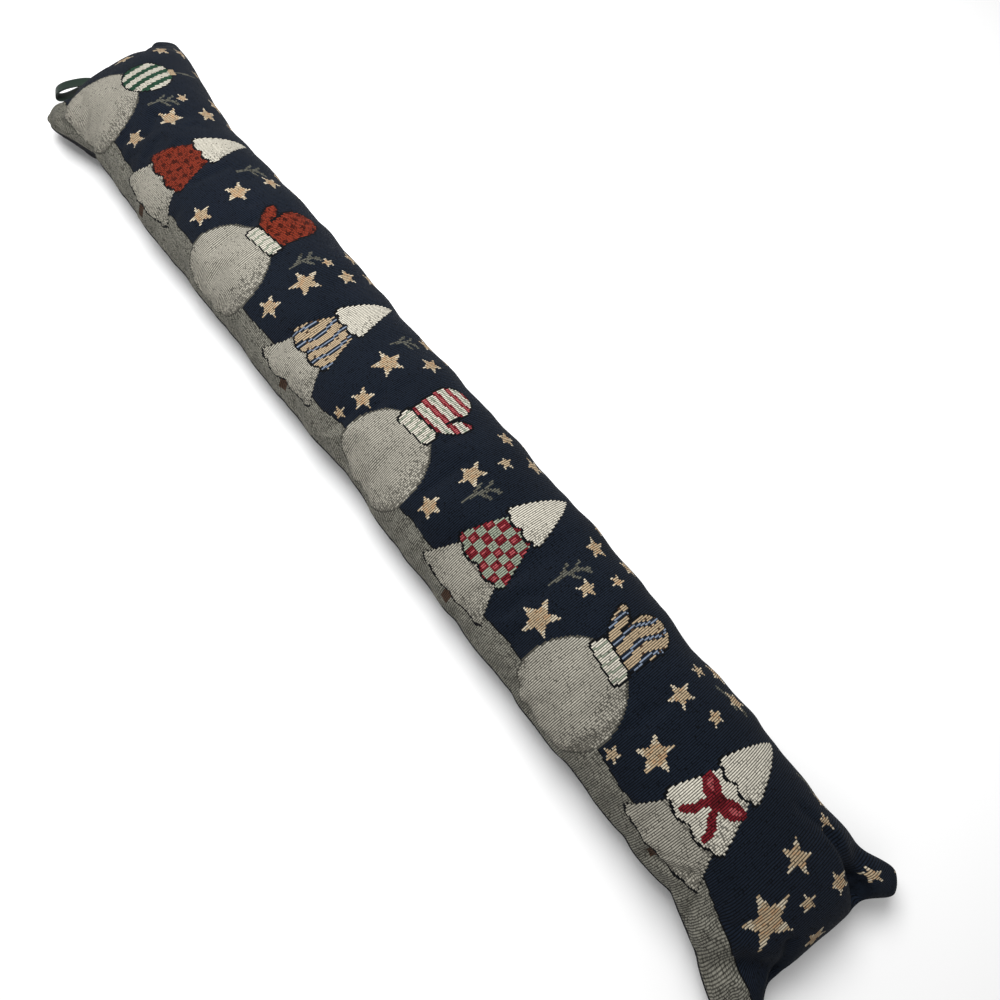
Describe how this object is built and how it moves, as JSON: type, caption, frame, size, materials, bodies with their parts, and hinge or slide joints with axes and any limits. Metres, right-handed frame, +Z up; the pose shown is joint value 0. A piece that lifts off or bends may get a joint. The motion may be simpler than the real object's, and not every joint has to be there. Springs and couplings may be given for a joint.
{
  "type": "draught excluder",
  "caption": "Long stuffed draught excluder of woven tapestry with dog-eared corners, a flat back to rest on and a ribbon loop at one end to hang it by.",
  "frame": {"origin": "on the surface it rests on, under the middle of the cushion's length and width without the loop", "axes": "+X along the length, away from the end with the ribbon loop; +Y across the width; +Z up, out of the tapestry front"},
  "size_m": [0.9333, 0.1472, 0.0726],
  "materials": {
    "tapestry": "woven",
    "back_cloth": "woven",
    "ribbon": "satin"
  },
  "bodies": {
    "root": {"tapestry_front": "tapestry", "filled_body": "back_cloth", "hanging_loop": "ribbon"}
  },
  "joints": []
}
